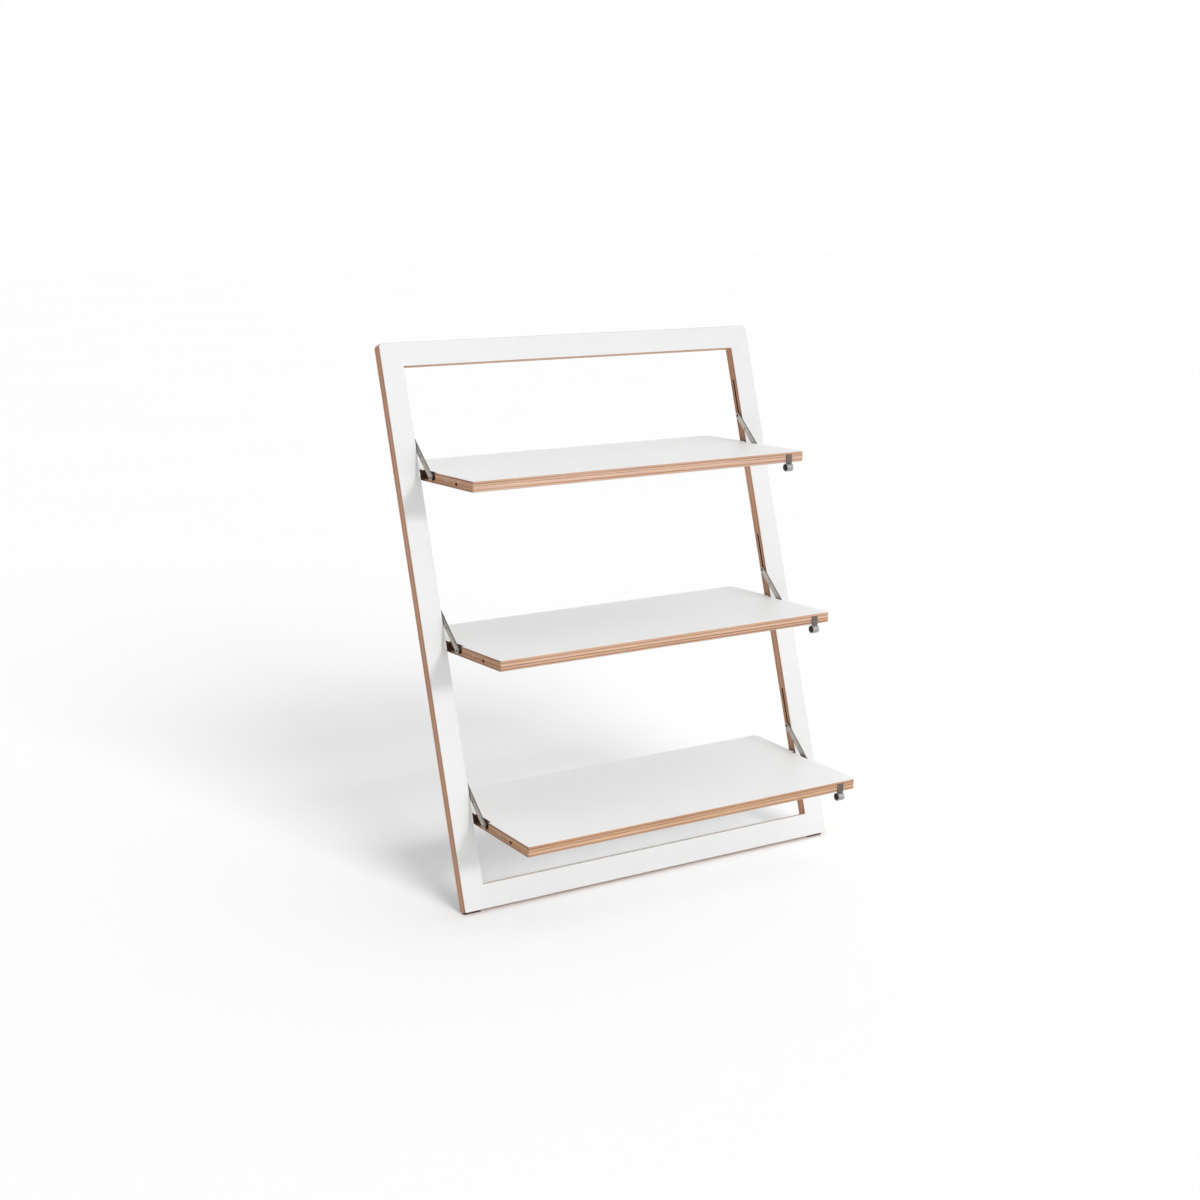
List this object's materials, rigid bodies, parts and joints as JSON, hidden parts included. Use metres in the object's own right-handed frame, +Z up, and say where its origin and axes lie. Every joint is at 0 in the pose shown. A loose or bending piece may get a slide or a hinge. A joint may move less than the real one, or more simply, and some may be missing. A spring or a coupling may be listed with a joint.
{
  "type": "leaning shelf",
  "caption": "Wall-leaning plywood frame with fold-flat shelves cut from the same board, held by slotted steel struts.",
  "frame": {"origin": "on the floor, at the middle of the whole object's footprint", "axes": "+Z up, +Y towards the wall, +X to the right of someone facing the shelf"},
  "size_m": [0.8, 0.474, 0.9685],
  "materials": {
    "ply_frame": "sealed birch ply edge",
    "ply_top": "sealed birch ply edge",
    "ply_middle": "sealed birch ply edge",
    "ply_bottom": "sealed birch ply edge",
    "film": "satin white film",
    "strut_steel": "brushed",
    "pin_steel": "turned",
    "catch_steel": "polished",
    "plate_steel": "dull",
    "barrel_steel": "satin",
    "screw_steel": "satin",
    "cap_plastic": "satin black",
    "bush_plastic": "moulded",
    "rubber": "matt"
  },
  "bodies": {
    "frame": {"frame_core": "ply_frame", "frame_front_film": "film", "frame_back_film": "film", "pivot_bushes": "bush_plastic", "foot_left": "rubber", "foot_right": "rubber"},
    "shelf_top": {"shelf_top_core": "ply_top", "shelf_top_upper_film": "film", "shelf_top_lower_film": "film", "shelf_top_pivot_pins": "pin_steel", "shelf_top_strut_posts": "pin_steel", "shelf_top_ball_catches": "catch_steel", "pull_top_plate": "plate_steel", "pull_top_barrel": "barrel_steel", "pull_top_cap": "cap_plastic", "pull_top_screw": "screw_steel"},
    "strut_top_left": {"strut_top_left": "strut_steel", "strut_rivet_top_left": "pin_steel"},
    "guide_pin_top_left": {"guide_pin_top_left": "pin_steel"},
    "strut_top_right": {"strut_top_right": "strut_steel", "strut_rivet_top_right": "pin_steel"},
    "guide_pin_top_right": {"guide_pin_top_right": "pin_steel"},
    "shelf_middle": {"shelf_middle_core": "ply_middle", "shelf_middle_upper_film": "film", "shelf_middle_lower_film": "film", "shelf_middle_pivot_pins": "pin_steel", "shelf_middle_strut_posts": "pin_steel", "shelf_middle_ball_catches": "catch_steel", "pull_middle_plate": "plate_steel", "pull_middle_barrel": "barrel_steel", "pull_middle_cap": "cap_plastic", "pull_middle_screw": "screw_steel"},
    "strut_middle_left": {"strut_middle_left": "strut_steel", "strut_rivet_middle_left": "pin_steel"},
    "guide_pin_middle_left": {"guide_pin_middle_left": "pin_steel"},
    "strut_middle_right": {"strut_middle_right": "strut_steel", "strut_rivet_middle_right": "pin_steel"},
    "guide_pin_middle_right": {"guide_pin_middle_right": "pin_steel"},
    "shelf_bottom": {"shelf_bottom_core": "ply_bottom", "shelf_bottom_upper_film": "film", "shelf_bottom_lower_film": "film", "shelf_bottom_pivot_pins": "pin_steel", "shelf_bottom_strut_posts": "pin_steel", "shelf_bottom_ball_catches": "catch_steel", "pull_bottom_plate": "plate_steel", "pull_bottom_barrel": "barrel_steel", "pull_bottom_cap": "cap_plastic", "pull_bottom_screw": "screw_steel"},
    "strut_bottom_left": {"strut_bottom_left": "strut_steel", "strut_rivet_bottom_left": "pin_steel"},
    "guide_pin_bottom_left": {"guide_pin_bottom_left": "pin_steel"},
    "strut_bottom_right": {"strut_bottom_right": "strut_steel", "strut_rivet_bottom_right": "pin_steel"},
    "guide_pin_bottom_right": {"guide_pin_bottom_right": "pin_steel"}
  },
  "joints": [
    {"name": "shelf_top_fold", "type": "hinge", "parent": "frame", "child": "shelf_top", "pos_m": [0, 0.12454, 0.74097], "axis": [-1, 0, 0], "range_deg": [0, 105.85]},
    {"name": "strut_top_left_turn", "type": "hinge", "parent": "shelf_top", "child": "strut_top_left", "pos_m": [-0.3555, 0.07954, 0.74097], "axis": [1, 0, 0], "range_deg": [0, 136.94]},
    {"name": "guide_pin_top_left_slide", "type": "slide", "parent": "frame", "child": "guide_pin_top_left", "axis": [0, 0.2731, 0.962], "range_m": [0, 0.06933]},
    {"name": "strut_top_right_turn", "type": "hinge", "parent": "shelf_top", "child": "strut_top_right", "pos_m": [0.3555, 0.07954, 0.74097], "axis": [1, 0, 0], "range_deg": [0, 136.94]},
    {"name": "guide_pin_top_right_slide", "type": "slide", "parent": "frame", "child": "guide_pin_top_right", "axis": [0, 0.2731, 0.962], "range_m": [0, 0.06933]},
    {"name": "shelf_middle_fold", "type": "hinge", "parent": "frame", "child": "shelf_middle", "pos_m": [0, 0.04151, 0.44853], "axis": [-1, 0, 0], "range_deg": [0, 105.85]},
    {"name": "strut_middle_left_turn", "type": "hinge", "parent": "shelf_middle", "child": "strut_middle_left", "pos_m": [-0.3555, -0.00349, 0.44853], "axis": [1, 0, 0], "range_deg": [0, 136.94]},
    {"name": "guide_pin_middle_left_slide", "type": "slide", "parent": "frame", "child": "guide_pin_middle_left", "axis": [0, 0.2731, 0.962], "range_m": [0, 0.06933]},
    {"name": "strut_middle_right_turn", "type": "hinge", "parent": "shelf_middle", "child": "strut_middle_right", "pos_m": [0.3555, -0.00349, 0.44853], "axis": [1, 0, 0], "range_deg": [0, 136.94]},
    {"name": "guide_pin_middle_right_slide", "type": "slide", "parent": "frame", "child": "guide_pin_middle_right", "axis": [0, 0.2731, 0.962], "range_m": [0, 0.06933]},
    {"name": "shelf_bottom_fold", "type": "hinge", "parent": "frame", "child": "shelf_bottom", "pos_m": [0, -0.04152, 0.15609], "axis": [-1, 0, 0], "range_deg": [0, 108.85]},
    {"name": "strut_bottom_left_turn", "type": "hinge", "parent": "shelf_bottom", "child": "strut_bottom_left", "pos_m": [-0.3555, -0.08646, 0.15373], "axis": [1, 0, 0], "range_deg": [0, 139.38]},
    {"name": "guide_pin_bottom_left_slide", "type": "slide", "parent": "frame", "child": "guide_pin_bottom_left", "axis": [0, 0.2731, 0.962], "range_m": [0, 0.07116]},
    {"name": "strut_bottom_right_turn", "type": "hinge", "parent": "shelf_bottom", "child": "strut_bottom_right", "pos_m": [0.3555, -0.08646, 0.15373], "axis": [1, 0, 0], "range_deg": [0, 139.38]},
    {"name": "guide_pin_bottom_right_slide", "type": "slide", "parent": "frame", "child": "guide_pin_bottom_right", "axis": [0, 0.2731, 0.962], "range_m": [0, 0.07116]}
  ],
  "couplings": [
    {"joint": "strut_top_left_turn", "follows": "shelf_top_fold", "ratio": 1.2937},
    {"joint": "guide_pin_top_left_slide", "follows": "shelf_top_fold", "m_per_rad": 0.037529},
    {"joint": "strut_top_right_turn", "follows": "shelf_top_fold", "ratio": 1.2937},
    {"joint": "guide_pin_top_right_slide", "follows": "shelf_top_fold", "m_per_rad": 0.037529},
    {"joint": "strut_middle_left_turn", "follows": "shelf_middle_fold", "ratio": 1.2937},
    {"joint": "guide_pin_middle_left_slide", "follows": "shelf_middle_fold", "m_per_rad": 0.037529},
    {"joint": "strut_middle_right_turn", "follows": "shelf_middle_fold", "ratio": 1.2937},
    {"joint": "guide_pin_middle_right_slide", "follows": "shelf_middle_fold", "m_per_rad": 0.037529},
    {"joint": "strut_bottom_left_turn", "follows": "shelf_bottom_fold", "ratio": 1.2805},
    {"joint": "guide_pin_bottom_left_slide", "follows": "shelf_bottom_fold", "m_per_rad": 0.037458},
    {"joint": "strut_bottom_right_turn", "follows": "shelf_bottom_fold", "ratio": 1.2805},
    {"joint": "guide_pin_bottom_right_slide", "follows": "shelf_bottom_fold", "m_per_rad": 0.037458}
  ]
}
